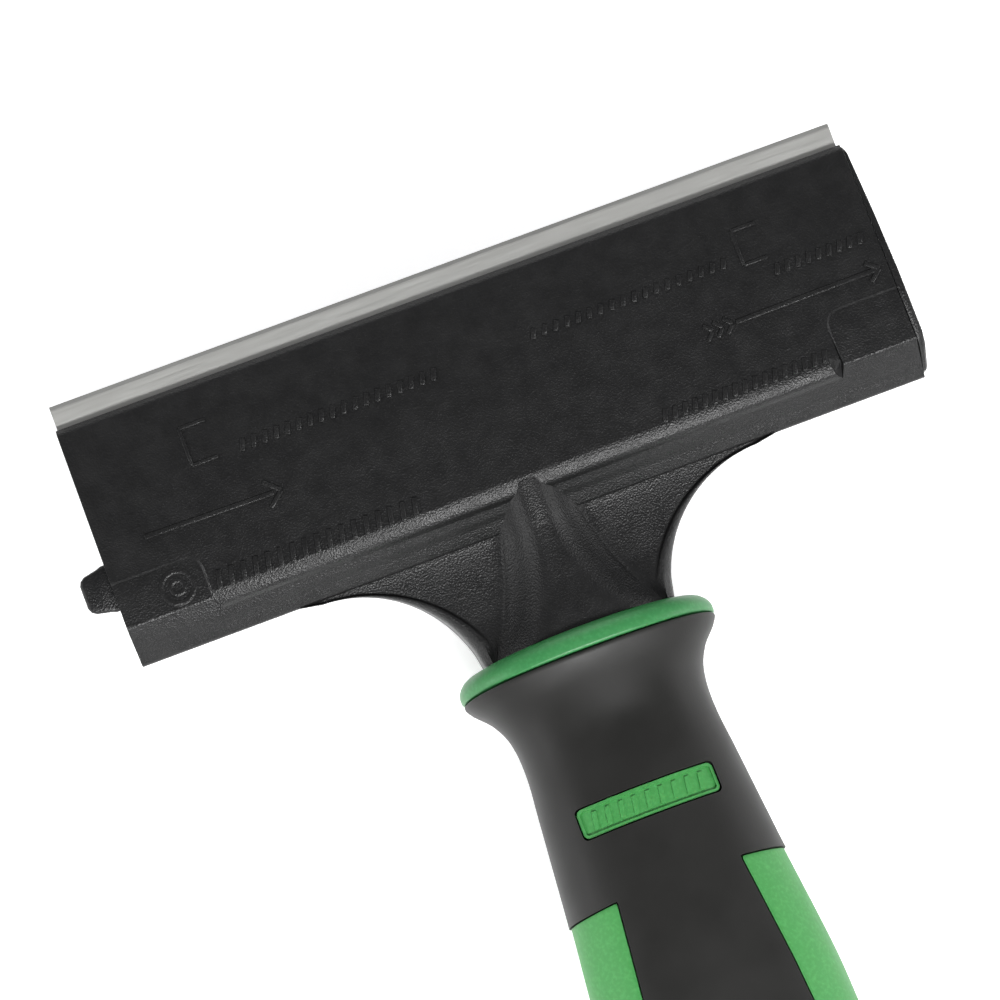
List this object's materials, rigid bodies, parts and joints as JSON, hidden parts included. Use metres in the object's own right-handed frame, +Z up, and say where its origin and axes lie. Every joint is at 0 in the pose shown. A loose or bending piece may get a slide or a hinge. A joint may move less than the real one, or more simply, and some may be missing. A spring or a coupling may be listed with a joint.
{
  "type": "hand scraper",
  "caption": "Hand scraper with a wide clamped steel blade, a push-button jaw that opens for blade changes, and a soft two-part grip with a pole socket.",
  "frame": {"origin": "middle of the bounding box, on the table the tool lies on", "axes": "+Y along the handle towards the blade, +X along the blade, +Z up from the table"},
  "size_m": [0.1577, 0.2072, 0.0363],
  "materials": {
    "head_plastic": "fine-grained black glass-filled plastic",
    "button_plastic": "satin black plastic",
    "blade_steel": "rolled carbon steel with a ground edge",
    "pin_steel": "drawn steel pin",
    "screw_steel": "zinc-plated steel",
    "spring_steel": "coiled spring wire",
    "latch_nylon": "natural nylon",
    "green_core": "satin green polypropylene",
    "green_ring": "satin green plastic",
    "soft_grip": "soft moulded thermoplastic rubber",
    "butt_plastic": "fine-grained black plastic"
  },
  "bodies": {
    "tool": {"upper_jaw": "head_plastic", "blade": "blade_steel", "hinge_pin": "pin_steel", "locating_stud_left": "pin_steel", "locating_stud_right": "pin_steel", "end_cap": "head_plastic", "guide_saddle_left": "latch_nylon", "guide_saddle_right": "latch_nylon", "guide_screw_1": "screw_steel", "guide_screw_2": "screw_steel", "guide_screw_3": "screw_steel", "guide_screw_4": "screw_steel", "latch_spring": "spring_steel", "handle_core": "green_core", "collar_ring": "green_ring", "grip_sleeve": "soft_grip", "side_inlay_left": "green_core", "side_inlay_right": "green_core", "thumb_pad": "green_core", "butt_cap": "butt_plastic", "tang_pin_front": "pin_steel", "tang_pin_back": "pin_steel"},
    "latch": {"latch_bar": "latch_nylon", "push_button": "button_plastic"},
    "flap": {"clamp_flap": "head_plastic", "cam_pin_left": "pin_steel", "cam_pin_right": "pin_steel"}
  },
  "joints": [
    {"name": "button_slide", "type": "slide", "parent": "tool", "child": "latch", "axis": [1, 0, 0], "range_m": [0, 0.005], "stiffness_N_per_m": 600, "springref_m": -0.004, "deforming": ["latch_spring"]},
    {"name": "flap_hinge", "type": "hinge", "parent": "tool", "child": "flap", "pos_m": [0.00185, 0.06003, 0.02241], "axis": [-1, 0, 0], "range_deg": [0, 6]}
  ],
  "couplings": [
    {"joint": "flap_hinge", "follows": "button_slide", "rad_per_m": 20.944}
  ]
}
